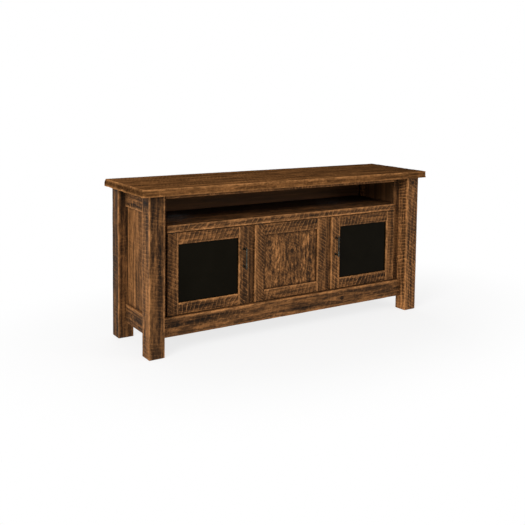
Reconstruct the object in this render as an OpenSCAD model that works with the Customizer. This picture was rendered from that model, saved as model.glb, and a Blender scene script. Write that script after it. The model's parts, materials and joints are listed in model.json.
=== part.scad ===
// TV stand with an open media shelf, two glazed doors and a flat panel door between them.
// Millimetres. +X runs along the width, -Y is the front, +Z is up.
// The origin is on the floor, under the middle of the top.

/* [Overall size] */
// Width of the top
top_w = 1651; // [1350:1:2000]
// Depth of the top, front to back
top_d = 457; // [420:1:560]
// Height of the top face above the floor
total_h = 762; // [640:1:920]

/* [Top] */
// Thickness of the top boards
top_t = 35; // [25:1:45]
// How far the top reaches past the posts at each end
top_end_overhang = 38; // [10:1:60]
// How far the top reaches past the front posts
top_front_overhang = 22; // [5:1:40]
// How far the top reaches past the back posts
top_back_overhang = 4; // [0:1:20]
// Width of the front board of the top
top_front_board_w = 146; // [100:1:175]
// Width of the back board of the top
top_back_board_w = 150; // [100:1:175]

/* [Posts and rails] */
// Side of the square posts
post_w = 76; // [70:1:92]
// Height of the bottom rails above the floor
floor_gap = 76; // [40:1:120]
// Height of the bottom rails
bottom_rail_h = 89; // [70:1:110]
// Distance of the front rail behind the post fronts
apron_setback = 40; // [30:1:45]
// Thickness of the front rail
apron_t = 45; // [38:1:45]
// Thickness of the side rails
side_rail_t = 23; // [18:1:26]
// Height of the side top rails
side_top_rail_h = 92; // [60:1:110]
// Thickness of the back rails
back_rail_t = 23; // [18:1:28]
// Thickness of the rail tenons
tenon_t = 12; // [8:1:14]
// Length of the rail tenons
tenon_l = 21; // [12:1:22]
// Distance from the rail edges to the tenon
tenon_shoulder = 6; // [4:1:8]

/* [Carcass panels] */
// Thickness of the side liners, the partitions and the bottom
panel_t = 18; // [15:1:20]
// Thickness of the outer side boards
side_board_t = 12; // [8:1:16]
// Gap between neighbouring side boards
side_board_gap = 1; // [0.5:0.5:3]
// Thickness of the back panel
back_panel_t = 6; // [4:1:9]
// Diameter of the cable holes in the back panel
cable_hole_d = 45; // [30:1:60]
// Side of the square support cleats
cleat = 18; // [15:1:22]

/* [Face frame] */
// Distance of the face frame behind the post fronts
face_setback = 67; // [60:1:72]
// Thickness of the face frame
face_t = 22; // [18:1:26]
// Width of the end stiles
end_stile_w = 36; // [28:1:50]
// Width of the two divider stiles
divider_w = 31; // [28:1:50]
// Height of the rail under the top
face_top_rail_h = 25; // [20:1:40]
// Thickness of the media shelf
shelf_t = 34; // [25:1:45]
// Clear height of the media shelf opening
media_h = 119; // [90:1:180]

/* [Doors] */
// Thickness of the doors
door_t = 22; // [20:1:27]
// How far the doors stand in front of the face frame
door_proud = 10; // [8:1:12]
// Gap down each edge of a door
door_gap = 2.5; // [2:0.5:4]
// Gap above and below a door
door_end_gap = 3; // [2.5:0.5:4]
// Width of the door stiles and rails
door_frame_w = 54; // [45:1:75]
// Depth of the glass and the panel behind the door front
panel_recess = 10; // [9:1:11]
// Width of the rebate that the glass sits in
rebate_w = 8; // [6:1:10]
// Thickness of the glass
glass_t = 4; // [3:1:5]
// Thickness of the wood panel
door_panel_t = 8; // [6:1:9]
// Joint between neighbouring boards of the wood panel
panel_board_gap = 0.6; // [0.2:0.1:2]
// Length of the door frame tenons
door_tenon_l = 12; // [8:1:20]
// Thickness of the door frame tenons
door_tenon_t = 6; // [4:1:7]

/* [Pulls] */
// Distance between the balls of a pull
pull_spacing = 85; // [64:1:128]
// Distance from the door front to the middle of the bar
pull_reach = 25; // [20:1:32]
// Diameter of the bar
pull_bar_d = 9; // [7:0.5:11]
// Diameter of the balls
pull_ball_d = 14; // [12:0.5:18]
// Diameter of the posts that carry the bar
pull_stem_d = 8; // [7:0.5:10]
// Height of the pulls above the middle of the door
pull_rise = 37; // [0:1:60]

/* [Hinges, catches and shelves] */
// Diameter of the hinge pins
hinge_pin_d = 5; // [4:0.5:6]
// Width of the hinge leaves
hinge_leaf_w = 10; // [8:0.5:11]
// Length of the hinge leaves
hinge_leaf_l = 44; // [30:1:60]
// Thickness of the hinge leaves
hinge_leaf_t = 3.4; // [2.5:0.1:4]
// Distance of the hinge axis behind the door front
hinge_axis_depth = 6; // [5.5:0.5:7]
// Distance of the hinge axis from the door edge
hinge_axis_inset = 10; // [8:0.5:14]
// Thickness of the adjustable shelves
adjustable_shelf_t = 18; // [15:1:20]
// Distance of the adjustable shelves below the media shelf
adjustable_shelf_drop = 190; // [150:1:230]
// Diameter of the shelf pins
shelf_pin_d = 5; // [4:0.5:6]
// Spacing of the shelf pin holes
shelf_pin_pitch = 32; // [25:1:40]

/* [Clearances] */
// Gap around a tenon in its mortise
tenon_clearance = 0.2; // [0.1:0.05:0.5]
// Gap round the edges of the glass and the wood panel
glass_clearance = 1; // [0.5:0.25:2]
// Gap round a pin that turns or slides
running_clearance = 0.05; // [0.03:0.01:0.1]
// Gap between faces that meet when a door shuts
contact_clearance = 0.3; // [0.2:0.1:0.6]
// Gap round the shank of a screw
screw_clearance = 0.1; // [0.05:0.05:0.3]
// Gap at each end of an adjustable shelf
shelf_clearance = 1.5; // [1:0.5:3]

/* [Hidden] */
$fn = 48;
overlap = 1;

// Main planes of the carcass
post_out_x = top_w / 2 - top_end_overhang;
post_in_x = post_out_x - post_w;
front_y = -top_d / 2 + top_front_overhang;
back_y = top_d / 2 - top_back_overhang;
post_front_inner_y = front_y + post_w;
post_back_inner_y = back_y - post_w;
under_top_z = total_h - top_t;
apron_top_z = floor_gap + bottom_rail_h;
apron_front_y = front_y + apron_setback;
apron_back_y = apron_front_y + apron_t;
back_panel_y = back_y - back_panel_t;
back_rail_y = back_panel_y - back_rail_t;

// Sides, from the inside outwards: liner, rails, and boards between the rails
liner_out_x = post_in_x + panel_t;
side_rail_out_x = liner_out_x + side_rail_t;
side_board_out_x = liner_out_x + side_board_t;
side_top_rail_z = under_top_z - side_top_rail_h;
side_board_count = 3;

// Face frame and media shelf
face_y = front_y + face_setback;
face_back_y = face_y + face_t;
stile_in_x = post_in_x - end_stile_w;
media_top_z = under_top_z - face_top_rail_h;
shelf_top_z = media_top_z - media_h;
shelf_bottom_z = shelf_top_z - shelf_t;
bay_w = (2 * stile_in_x - 2 * divider_w) / 3;
divider_x = bay_w / 2 + divider_w / 2;

// Doors
door_y = face_y - door_proud;
door_back_y = door_y + door_t;
door_w = bay_w - 2 * door_gap;
door_z0 = apron_top_z + door_end_gap;
door_z1 = shelf_bottom_z - door_end_gap;
side_bay_x = bay_w + divider_w;
door_mid_z = (door_z0 + door_z1) / 2;
rebate_y = door_y + panel_recess;
stop_y = rebate_y + glass_t;
LEFT = -1;
RIGHT = 1;
HINGE_LEFT = 1;
HINGE_RIGHT = -1;

// Hinges, made for a door whose hinge edge is at x = 0 and which reaches along +x
hinge_axis_y = door_y + hinge_axis_depth;
leaf_gap = 0.2;
leaf_proud = (door_end_gap - leaf_gap) / 2;
pin_in_door = 6;

// Pulls
pull_z = door_mid_z + pull_rise;
pull_bar_y = door_y - pull_reach;
pull_base_d = 13;
pull_base_t = 3;
finial_l = 14;
finial_d = 6;
finial_neck_d = 4.5;
pull_screw_d = 4;
pull_screw_depth = 12;
screw_head_d = 8;
screw_head_t = 2.5;

// Catches
catch_w = 42;
catch_d = 15;
catch_h = 13;
strike_w = 16;
strike_h = 11;
strike_t = 1.2;
catch_inset = 34;
latch_w = 18;
latch_h = 14;
latch_l = 52;
plunger_d = 8;
plunger_l = 30;
plunger_travel = 3;
plunger_out = 7;

// Adjustable shelves
shelf_front_y = door_back_y + 28;
shelf_back_y = back_panel_y - 4;
adjustable_shelf_z = shelf_bottom_z - adjustable_shelf_drop;
shelf_pin_out = 9;
shelf_pin_in = 8;
shelf_pin_inset = 45;
shelf_hole_rows = 3;

// Screws
screw_d = 4.5;
cleat_screw_l = 32;

// Colours
WOOD_DARK = [0.23, 0.14, 0.09];
WOOD_MID = [0.33, 0.20, 0.12];
WOOD_LIGHT = [0.42, 0.27, 0.16];
PLY = [0.36, 0.25, 0.16];
IRON = [0.30, 0.32, 0.29];
STEEL = [0.45, 0.45, 0.45];
GLASS = [0.07, 0.07, 0.05];
PLASTIC = [0.30, 0.22, 0.16];

// ---------------------------------------------------------------- helpers

// A block between two x, two y and two z values
module block(x, y, z) {
  translate([x[0], y[0], z[0]])
    cube([x[1] - x[0], y[1] - y[0], z[1] - z[0]]);
}

// A straight round bar between two points that differ along one axis
module bar_x(x, y, z, d) {
  translate([x[0], y, z])
    rotate([0, 90, 0])
      cylinder(h = x[1] - x[0], d = d);
}

module bar_y(x, y, z, d) {
  translate([x, y[0], z])
    rotate([-90, 0, 0])
      cylinder(h = y[1] - y[0], d = d);
}

module bar_z(x, y, z, d) {
  translate([x, y, z[0]])
    cylinder(h = z[1] - z[0], d = d);
}

// Puts a shape that was drawn for the right side on either side
module on_side(side) {
  mirror([side < 0 ? 1 : 0, 0, 0])
    children();
}

// ---------------------------------------------------------------- top

module top_board(y0, y1) {
  difference() {
    block([-top_w / 2, top_w / 2], [y0, y1], [under_top_z, total_h]);
    top_screw_shanks(screw_clearance);
  }
}

module top_board_front() {
  color(WOOD_LIGHT)
    top_board(-top_d / 2, -top_d / 2 + top_front_board_w);
}

module top_board_middle() {
  color(WOOD_LIGHT)
    top_board(-top_d / 2 + top_front_board_w, top_d / 2 - top_back_board_w);
}

module top_board_back() {
  color(WOOD_LIGHT)
    top_board(top_d / 2 - top_back_board_w, top_d / 2);
}

// ---------------------------------------------------------------- posts and rails

side_tenon_x = liner_out_x + side_rail_t / 2;
apron_tenon_y = (apron_front_y + apron_back_y) / 2;
back_tenon_y = back_rail_y + back_rail_t / 2;

// Tenons of a side rail, one at each end; grow widens them into the mortise shape
module side_tenons(z0, z1, grow = 0) {
  block([side_tenon_x - tenon_t / 2 - grow, side_tenon_x + tenon_t / 2 + grow],
        [post_front_inner_y - tenon_l - grow, post_back_inner_y + tenon_l + grow],
        [z0 + tenon_shoulder - grow, z1 - tenon_shoulder + grow]);
}

// Tenons of a rail that runs across the stand
module cross_tenons(y, z0, z1, grow = 0) {
  block([-post_in_x - tenon_l - grow, post_in_x + tenon_l + grow],
        [y - tenon_t / 2 - grow, y + tenon_t / 2 + grow],
        [z0 + tenon_shoulder - grow, z1 - tenon_shoulder + grow]);
}

module side_mortises() {
  side_tenons(floor_gap, apron_top_z, tenon_clearance);
  side_tenons(side_top_rail_z, under_top_z, tenon_clearance);
}

module post_front() {
  difference() {
    block([post_in_x, post_out_x], [front_y, post_front_inner_y], [0, under_top_z]);
    side_mortises();
    cross_tenons(apron_tenon_y, floor_gap, apron_top_z, tenon_clearance);
  }
}

module post_back() {
  difference() {
    block([post_in_x, post_out_x], [post_back_inner_y, back_y], [0, under_top_z]);
    side_mortises();
    cross_tenons(back_tenon_y, floor_gap, apron_top_z, tenon_clearance);
    cross_tenons(back_tenon_y, media_top_z, under_top_z, tenon_clearance);
  }
}

module side_rail(z0, z1) {
  union() {
    block([liner_out_x, side_rail_out_x], [post_front_inner_y, post_back_inner_y], [z0, z1]);
    side_tenons(z0, z1);
  }
}

module front_apron() {
  color(WOOD_MID)
    difference() {
      union() {
        block([-post_in_x, post_in_x], [apron_front_y, apron_back_y], [floor_gap, apron_top_z]);
        cross_tenons(apron_tenon_y, floor_gap, apron_top_z);
      }
      bottom_leaf_pockets();
    }
}

module back_rail(z0, z1) {
  union() {
    block([-post_in_x, post_in_x], [back_rail_y, back_panel_y], [z0, z1]);
    cross_tenons(back_tenon_y, z0, z1);
  }
}

module back_bottom_rail() {
  color(WOOD_MID)
    back_rail(floor_gap, apron_top_z);
}

module back_top_rail() {
  color(WOOD_MID)
    difference() {
      back_rail(media_top_z, under_top_z);
      top_screw_shanks(screw_clearance);
      top_screw_heads(screw_clearance);
    }
}

// ---------------------------------------------------------------- sides

module side_boards() {
  run = post_back_inner_y - post_front_inner_y;
  board_w = floor((run - (side_board_count - 1) * side_board_gap) / side_board_count * 100) / 100;
  last = side_board_count - 1;
  for (i = [0 : last]) {
    y0 = post_front_inner_y + i * (board_w + side_board_gap);
    y1 = i == last ? post_back_inner_y : y0 + board_w;
    block([liner_out_x, side_board_out_x], [y0, y1], [apron_top_z, side_top_rail_z]);
  }
}

module side_liner() {
  difference() {
    block([post_in_x, liner_out_x], [post_front_inner_y, post_back_inner_y],
          [floor_gap, under_top_z]);
    shelf_pin_holes(post_in_x, 1);
    cleat_screws(screw_clearance);
  }
}

// ---------------------------------------------------------------- inside panels

module bottom_panel() {
  color(PLY)
    block([-post_in_x, post_in_x], [apron_back_y, back_rail_y],
          [apron_top_z - panel_t, apron_top_z]);
}

module partition() {
  difference() {
    block([divider_x - panel_t / 2, divider_x + panel_t / 2], [face_back_y, back_panel_y],
          [apron_top_z, shelf_bottom_z]);
    shelf_pin_holes(divider_x - panel_t / 2, 1);
    shelf_pin_holes(divider_x + panel_t / 2, -1);
  }
}

module media_shelf() {
  color(WOOD_MID)
    difference() {
      block([-post_in_x, post_in_x], [door_y, back_panel_y], [shelf_bottom_z, shelf_top_z]);
      for (side = [LEFT, RIGHT])
        on_side(side)
          block([stile_in_x, post_in_x + overlap], [door_y - overlap, face_back_y],
                [shelf_bottom_z - overlap, shelf_top_z + overlap]);
      top_leaf_pockets();
    }
}

cable_hole_z = media_top_z - 1.5 - cable_hole_d / 2;
bay_cable_hole_z = apron_top_z + 90;
media_cable_hole_x = side_bay_x;

module back_panel() {
  color(PLY)
    difference() {
      block([-post_in_x, post_in_x], [back_panel_y, back_y],
            [floor_gap + back_panel_t, under_top_z]);
      for (x = [-side_bay_x, 0, side_bay_x])
        bar_y(x, [back_panel_y - overlap, back_y + overlap], bay_cable_hole_z, cable_hole_d);
      for (x = [-media_cable_hole_x, media_cable_hole_x])
        bar_y(x, [back_panel_y - overlap, back_y + overlap], cable_hole_z, cable_hole_d);
    }
}

// Wall planes of the three bays, as [low x, high x]
partition_out_x = divider_x + panel_t / 2;
partition_in_x = divider_x - panel_t / 2;
bays = [
  [-post_in_x, -partition_out_x],
  [-partition_in_x, partition_in_x],
  [partition_out_x, post_in_x]
];
pin_z = adjustable_shelf_z - shelf_pin_d / 2;
pin_ys = [shelf_front_y + shelf_pin_inset, post_back_inner_y - shelf_pin_inset];

module adjustable_shelves() {
  color(PLY)
    for (bay = bays)
      block([bay[0] + shelf_clearance, bay[1] - shelf_clearance],
            [shelf_front_y, shelf_back_y],
            [adjustable_shelf_z, adjustable_shelf_z + adjustable_shelf_t]);
}

// Rows of blind holes bored into a wall from the plane x; toward is +1 or -1, into the wall
module shelf_pin_holes(x, toward) {
  depth = shelf_pin_in + 0.5;
  for (y = pin_ys)
    for (row = [0 : shelf_hole_rows - 1]) {
      z = pin_z + (row - (shelf_hole_rows - 1) / 2) * shelf_pin_pitch;
      x0 = toward > 0 ? x - overlap : x - depth;
      bar_x([x0, x0 + depth + overlap], y, z, shelf_pin_d + 2 * running_clearance);
    }
}

module shelf_pins() {
  color(STEEL)
    for (bay = bays)
      for (y = pin_ys) {
        bar_x([bay[0] - shelf_pin_in, bay[0] + shelf_pin_out], y, pin_z, shelf_pin_d);
        bar_x([bay[1] - shelf_pin_out, bay[1] + shelf_pin_in], y, pin_z, shelf_pin_d);
      }
}

// ---------------------------------------------------------------- cleats and screws

cleat_y = [post_front_inner_y + 20, post_back_inner_y - 20];
cleat_tops = [apron_top_z - panel_t, shelf_bottom_z, under_top_z];
cleat_screw_ys = [cleat_y[0] + 30, (cleat_y[0] + cleat_y[1]) / 2, cleat_y[1] - 30];
top_front_joint_y = -top_d / 2 + top_front_board_w;
top_screw_front_y = max(cleat_y[0] + 6, (cleat_y[0] + top_front_joint_y) / 2);
top_screw_ys = [top_screw_front_y, cleat_screw_ys[1] - 12, cleat_screw_ys[2] - 12];
top_screw_x = post_in_x - cleat / 2;
top_screw_l = cleat + 20;
back_screw_xs = [-post_in_x * 0.6, 0, post_in_x * 0.6];

// Screws that hold the cleats to the liners, drawn for the right side
module cleat_screws(grow = 0) {
  for (z = cleat_tops)
    for (y = cleat_screw_ys)
      bar_x([post_in_x - cleat, post_in_x - cleat + cleat_screw_l + grow], y + 12, z - cleat / 2,
            screw_d + 2 * grow);
}

module top_screw_shanks(grow = 0) {
  for (side = [LEFT, RIGHT])
    on_side(side)
      for (y = top_screw_ys)
        bar_z(top_screw_x, y, [under_top_z - cleat, under_top_z - cleat + top_screw_l + grow],
              screw_d + 2 * grow);
  for (x = back_screw_xs)
    bar_z(x, back_tenon_y, [media_top_z, media_top_z + face_top_rail_h + 20 + grow],
          screw_d + 2 * grow);
}

// Countersunk seats of the screws that rise through the back top rail
module top_screw_heads(grow = 0) {
  for (x = back_screw_xs)
    bar_z(x, back_tenon_y, [media_top_z - grow, media_top_z + screw_head_t + grow],
          screw_head_d + 2 * grow);
}

module support_cleats() {
  color(WOOD_MID)
    for (side = [LEFT, RIGHT])
      on_side(side)
        difference() {
          for (z = cleat_tops)
            block([post_in_x - cleat, post_in_x], cleat_y, [z - cleat, z]);
          cleat_screws(screw_clearance);
          top_screw_shanks(screw_clearance);
        }
}

module carcass_screws() {
  color(STEEL) {
    for (side = [LEFT, RIGHT])
      on_side(side)
        for (z = cleat_tops)
          for (y = cleat_screw_ys)
            union() {
              bar_x([post_in_x - cleat, post_in_x - cleat + cleat_screw_l], y + 12,
                    z - cleat / 2, screw_d);
              bar_x([post_in_x - cleat - screw_head_t, post_in_x - cleat], y + 12,
                    z - cleat / 2, screw_head_d);
            }
    for (side = [LEFT, RIGHT])
      on_side(side)
        for (y = top_screw_ys)
          union() {
            bar_z(top_screw_x, y, [under_top_z - cleat, under_top_z - cleat + top_screw_l],
                  screw_d);
            bar_z(top_screw_x, y, [under_top_z - cleat - screw_head_t, under_top_z - cleat],
                  screw_head_d);
          }
    union() {
      top_screw_heads();
      for (x = back_screw_xs)
        bar_z(x, back_tenon_y, [media_top_z, media_top_z + face_top_rail_h + 20], screw_d);
    }
  }
}

// ---------------------------------------------------------------- face frame

module face_stile() {
  block([stile_in_x, post_in_x], [face_y, face_back_y], [apron_top_z, under_top_z]);
}

module divider_stile() {
  block([divider_x - divider_w / 2, divider_x + divider_w / 2], [face_y, face_back_y],
        [apron_top_z, shelf_bottom_z]);
}

module face_top_rail() {
  color(WOOD_MID)
    block([-stile_in_x, stile_in_x], [face_y, face_back_y], [media_top_z, under_top_z]);
}

// ---------------------------------------------------------------- door parts
// A door is drawn with its hinge edge at x = 0 and its free edge at x = door_w.
// hand is HINGE_LEFT for that, or HINGE_RIGHT for the mirror image.

module place_door(bay_x, hand) {
  translate([bay_x - hand * door_w / 2, 0, 0])
    mirror([hand < 0 ? 1 : 0, 0, 0])
      children();
}

rail_x0 = door_frame_w;
rail_x1 = door_w - door_frame_w;
door_tenon_y = [rebate_y - 2 - door_tenon_t, rebate_y - 2];

module door_tenons(z0, z1, grow = 0) {
  block([rail_x0 - door_tenon_l - grow, rail_x1 + door_tenon_l + grow],
        [door_tenon_y[0] - grow, door_tenon_y[1] + grow],
        [z0 - grow, z1 + grow]);
}

// Both mortise heights, in from the door's outer edges and short of the rebates
module door_mortises() {
  door_tenons(door_z0 + tenon_shoulder, door_z0 + door_frame_w - rebate_w - 2, tenon_clearance);
  door_tenons(door_z1 - door_frame_w + rebate_w + 2, door_z1 - tenon_shoulder, tenon_clearance);
}

// Rebate for glass and stops, open to the back of the door
module glass_rebate() {
  block([door_frame_w - rebate_w, door_w - door_frame_w + rebate_w],
        [rebate_y, door_back_y + overlap],
        [door_z0 + door_frame_w - rebate_w, door_z1 - door_frame_w + rebate_w]);
}

// Groove for the wood panel
module panel_groove() {
  block([door_frame_w - rebate_w, door_w - door_frame_w + rebate_w],
        [rebate_y, rebate_y + door_panel_t + tenon_clearance],
        [door_z0 + door_frame_w - rebate_w, door_z1 - door_frame_w + rebate_w]);
}

module panel_seat(glazed) {
  if (glazed)
    glass_rebate();
  else
    panel_groove();
}

module hinge_stile(glazed) {
  difference() {
    block([0, door_frame_w], [door_y, door_back_y], [door_z0, door_z1]);
    door_mortises();
    panel_seat(glazed);
    door_leaf_pockets();
  }
}

module free_stile(glazed, pull) {
  difference() {
    block([door_w - door_frame_w, door_w], [door_y, door_back_y], [door_z0, door_z1]);
    door_mortises();
    panel_seat(glazed);
    if (pull)
      pull_screw_holes();
  }
}

module door_top_rail(glazed) {
  difference() {
    union() {
      block([rail_x0, rail_x1], [door_y, door_back_y], [door_z1 - door_frame_w, door_z1]);
      door_tenons(door_z1 - door_frame_w + rebate_w + 2, door_z1 - tenon_shoulder);
    }
    panel_seat(glazed);
    door_leaf_pockets();
  }
}

module door_bottom_rail(glazed) {
  difference() {
    union() {
      block([rail_x0, rail_x1], [door_y, door_back_y], [door_z0, door_z0 + door_frame_w]);
      door_tenons(door_z0 + tenon_shoulder, door_z0 + door_frame_w - rebate_w - 2);
    }
    panel_seat(glazed);
    door_leaf_pockets();
  }
}

// Outline of the glass or the panel inside its rebate, as [low, high]
fill_x = [door_frame_w - rebate_w + glass_clearance,
          door_w - door_frame_w + rebate_w - glass_clearance];
fill_z = [door_z0 + door_frame_w - rebate_w + glass_clearance,
          door_z1 - door_frame_w + rebate_w - glass_clearance];

module door_glass() {
  block(fill_x, [rebate_y, stop_y], fill_z);
}

module door_glass_stops() {
  outer_x = [door_frame_w - rebate_w, door_w - door_frame_w + rebate_w];
  outer_z = [door_z0 + door_frame_w - rebate_w, door_z1 - door_frame_w + rebate_w];
  y = [stop_y, door_back_y];
  for (x = [outer_x[0], outer_x[1] - rebate_w])
    block([x, x + rebate_w], y, outer_z);
  for (z = [outer_z[0], outer_z[1] - rebate_w])
    block([outer_x[0] + rebate_w + tenon_clearance, outer_x[1] - rebate_w - tenon_clearance], y,
          [z, z + rebate_w]);
}

// Boards of the wood panel, side by side in three unequal widths
panel_joints = [0, 0.31, 0.68, 1];

module door_wood_panel() {
  width = fill_x[1] - fill_x[0] + panel_board_gap;
  for (i = [0 : 2])
    block([fill_x[0] + panel_joints[i] * width,
           fill_x[0] + panel_joints[i + 1] * width - panel_board_gap],
          [rebate_y, rebate_y + door_panel_t], fill_z);
}

// ---------------------------------------------------------------- pull

pull_x = door_w - door_frame_w / 2;
ball_zs = [pull_z - pull_spacing / 2, pull_z + pull_spacing / 2];

module pull_stem(z) {
  union() {
    bar_y(pull_x, [pull_bar_y, door_y], z, pull_stem_d);
    bar_y(pull_x, [door_y - pull_base_t, door_y], z, pull_base_d);
    bar_y(pull_x, [door_y - 2 * pull_base_t, door_y - pull_base_t + overlap], z,
          (pull_base_d + pull_stem_d) / 2);
  }
}

// Turned bar with its balls and finials, upright about its own axis
module pull_bar() {
  union() {
    bar_z(pull_x, pull_bar_y, ball_zs, pull_bar_d);
    for (end = [0, 1]) {
      out = end == 0 ? -1 : 1;
      translate([pull_x, pull_bar_y, ball_zs[end]]) {
        sphere(d = pull_ball_d);
        translate([0, 0, out < 0 ? -finial_l + finial_d / 2 : 0])
          cylinder(h = finial_l - finial_d / 2, d = finial_neck_d);
        translate([0, 0, out * (finial_l - finial_d / 2)])
          sphere(d = finial_d);
        translate([0, 0, -out * pull_ball_d * 0.62 - 1])
          cylinder(h = 2, d = pull_bar_d + 2);
      }
    }
  }
}

module door_pull() {
  difference() {
    union() {
      pull_bar();
      for (z = ball_zs)
        pull_stem(z);
    }
    for (z = ball_zs)
      bar_y(pull_x, [door_y - pull_screw_depth - 0.5, door_y + overlap], z,
            pull_screw_d + 2 * running_clearance);
  }
}

module pull_screw_holes() {
  for (z = ball_zs)
    bar_y(pull_x, [door_y - overlap, door_back_y + overlap], z, pull_screw_d + 2 * screw_clearance);
}

module pull_screws() {
  for (z = ball_zs)
    union() {
      bar_y(pull_x, [door_y - pull_screw_depth, door_back_y + overlap], z, pull_screw_d);
      bar_y(pull_x, [door_back_y, door_back_y + screw_head_t], z, screw_head_d);
    }
}

// ---------------------------------------------------------------- hinges
// Each hinge is a pair of flat leaves, one let into the carcass and one into the door.

module leaf_outline(grow = 0) {
  union() {
    translate([hinge_axis_inset, hinge_axis_y])
      circle(d = hinge_leaf_w + 2 * grow);
    translate([hinge_axis_inset, hinge_axis_y - hinge_leaf_w / 2 - grow])
      square([hinge_leaf_l - hinge_leaf_w / 2 + grow, hinge_leaf_w + 2 * grow]);
  }
}

module leaf_plate(z0, z1, grow = 0) {
  translate([0, 0, z0])
    linear_extrude(height = z1 - z0)
      leaf_outline(grow);
}

// Leaves in the door, below its top edge and above its bottom edge
door_leaf_z = [
  [door_z0 - leaf_proud, door_z0 - leaf_proud + hinge_leaf_t],
  [door_z1 + leaf_proud - hinge_leaf_t, door_z1 + leaf_proud]
];
frame_leaf_z = [
  [apron_top_z + leaf_proud - hinge_leaf_t, apron_top_z + leaf_proud],
  [shelf_bottom_z - leaf_proud, shelf_bottom_z - leaf_proud + hinge_leaf_t]
];
pin_zs = [
  [frame_leaf_z[0][0], door_leaf_z[0][1] + pin_in_door],
  [door_leaf_z[1][0] - pin_in_door, frame_leaf_z[1][1]]
];

module door_leaf_pockets() {
  for (z = door_leaf_z)
    leaf_plate(z[0], z[1], screw_clearance);
  for (z = pin_zs)
    bar_z(hinge_axis_inset, hinge_axis_y, z, hinge_pin_d + 1);
}

module door_leaves() {
  difference() {
    for (z = door_leaf_z)
      leaf_plate(z[0], z[1]);
    for (z = pin_zs)
      bar_z(hinge_axis_inset, hinge_axis_y, z, hinge_pin_d + 2 * running_clearance);
  }
}

// Runs a child at the hinge edge of each door
module each_hinge_edge() {
  place_door(-side_bay_x, HINGE_LEFT)
    children();
  place_door(0, HINGE_LEFT)
    children();
  place_door(side_bay_x, HINGE_RIGHT)
    children();
}

module bottom_leaf_pockets() {
  each_hinge_edge()
    leaf_plate(frame_leaf_z[0][0] - screw_clearance, frame_leaf_z[0][1] + overlap, screw_clearance);
}

module top_leaf_pockets() {
  each_hinge_edge()
    leaf_plate(frame_leaf_z[1][0] - overlap, frame_leaf_z[1][1] + screw_clearance, screw_clearance);
}

module hinge_frame_leaves() {
  color(STEEL)
    each_hinge_edge()
      difference() {
        for (z = frame_leaf_z)
          leaf_plate(z[0], z[1]);
        for (z = pin_zs)
          bar_z(hinge_axis_inset, hinge_axis_y, z, hinge_pin_d + 2 * running_clearance);
      }
}

module hinge_pins() {
  color(STEEL)
    each_hinge_edge()
      for (z = pin_zs)
        bar_z(hinge_axis_inset, hinge_axis_y, z, hinge_pin_d);
}

// ---------------------------------------------------------------- catches

strike_z = [door_z1 - strike_h - 1, door_z1 - 1];
catch_x = [door_w - catch_inset - catch_w, door_w - catch_inset];
catch_mid_x = (catch_x[0] + catch_x[1]) / 2;
catch_front_y = door_back_y + strike_t + contact_clearance;
plunger_z = shelf_bottom_z - latch_h / 2;

module strike() {
  block([catch_mid_x - strike_w / 2, catch_mid_x + strike_w / 2],
        [door_back_y, door_back_y + strike_t], strike_z);
}

module magnetic_catch() {
  block(catch_x, [catch_front_y, catch_front_y + catch_d], [shelf_bottom_z - catch_h, shelf_bottom_z]);
}

module magnetic_catches() {
  color(PLASTIC) {
    place_door(-side_bay_x, HINGE_LEFT)
      magnetic_catch();
    place_door(side_bay_x, HINGE_RIGHT)
      magnetic_catch();
  }
}

module touch_latch_body() {
  y0 = catch_front_y + plunger_out;
  bore_depth = plunger_l - plunger_out + plunger_travel + 2;
  color(PLASTIC)
    place_door(0, HINGE_LEFT)
      difference() {
        block([catch_mid_x - latch_w / 2, catch_mid_x + latch_w / 2], [y0, y0 + latch_l],
              [shelf_bottom_z - latch_h, shelf_bottom_z]);
        bar_y(catch_mid_x, [y0 - overlap, y0 + bore_depth], plunger_z,
              plunger_d + 2 * running_clearance);
      }
}

module touch_latch_plunger() {
  color(STEEL)
    place_door(0, HINGE_LEFT)
      bar_y(catch_mid_x, [catch_front_y, catch_front_y + plunger_l], plunger_z, plunger_d);
}

// Hinge leaves, strike and pull screws that belong to one door
module door_fittings(pull) {
  door_leaves();
  strike();
  if (pull)
    pull_screws();
}

// ---------------------------------------------------------------- nodes

module post_front_left() { color(WOOD_MID) on_side(LEFT) post_front(); }
module post_front_right() { color(WOOD_MID) on_side(RIGHT) post_front(); }
module post_back_left() { color(WOOD_MID) on_side(LEFT) post_back(); }
module post_back_right() { color(WOOD_MID) on_side(RIGHT) post_back(); }
module side_top_rail_left() { color(WOOD_MID) on_side(LEFT) side_rail(side_top_rail_z, under_top_z); }
module side_top_rail_right() { color(WOOD_MID) on_side(RIGHT) side_rail(side_top_rail_z, under_top_z); }
module side_bottom_rail_left() { color(WOOD_MID) on_side(LEFT) side_rail(floor_gap, apron_top_z); }
module side_bottom_rail_right() { color(WOOD_MID) on_side(RIGHT) side_rail(floor_gap, apron_top_z); }
module side_boards_left() { color(WOOD_LIGHT) on_side(LEFT) side_boards(); }
module side_boards_right() { color(WOOD_LIGHT) on_side(RIGHT) side_boards(); }
module side_liner_left() { color(PLY) on_side(LEFT) side_liner(); }
module side_liner_right() { color(PLY) on_side(RIGHT) side_liner(); }
module partition_left() { color(PLY) on_side(LEFT) partition(); }
module partition_right() { color(PLY) on_side(RIGHT) partition(); }
module face_stile_left() { color(WOOD_MID) on_side(LEFT) face_stile(); }
module face_stile_right() { color(WOOD_MID) on_side(RIGHT) face_stile(); }
module divider_stile_left() { color(WOOD_MID) on_side(LEFT) divider_stile(); }
module divider_stile_right() { color(WOOD_MID) on_side(RIGHT) divider_stile(); }

module on_left_door() { place_door(-side_bay_x, HINGE_LEFT) children(); }
module on_center_door() { place_door(0, HINGE_LEFT) children(); }
module on_right_door() { place_door(side_bay_x, HINGE_RIGHT) children(); }

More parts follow.
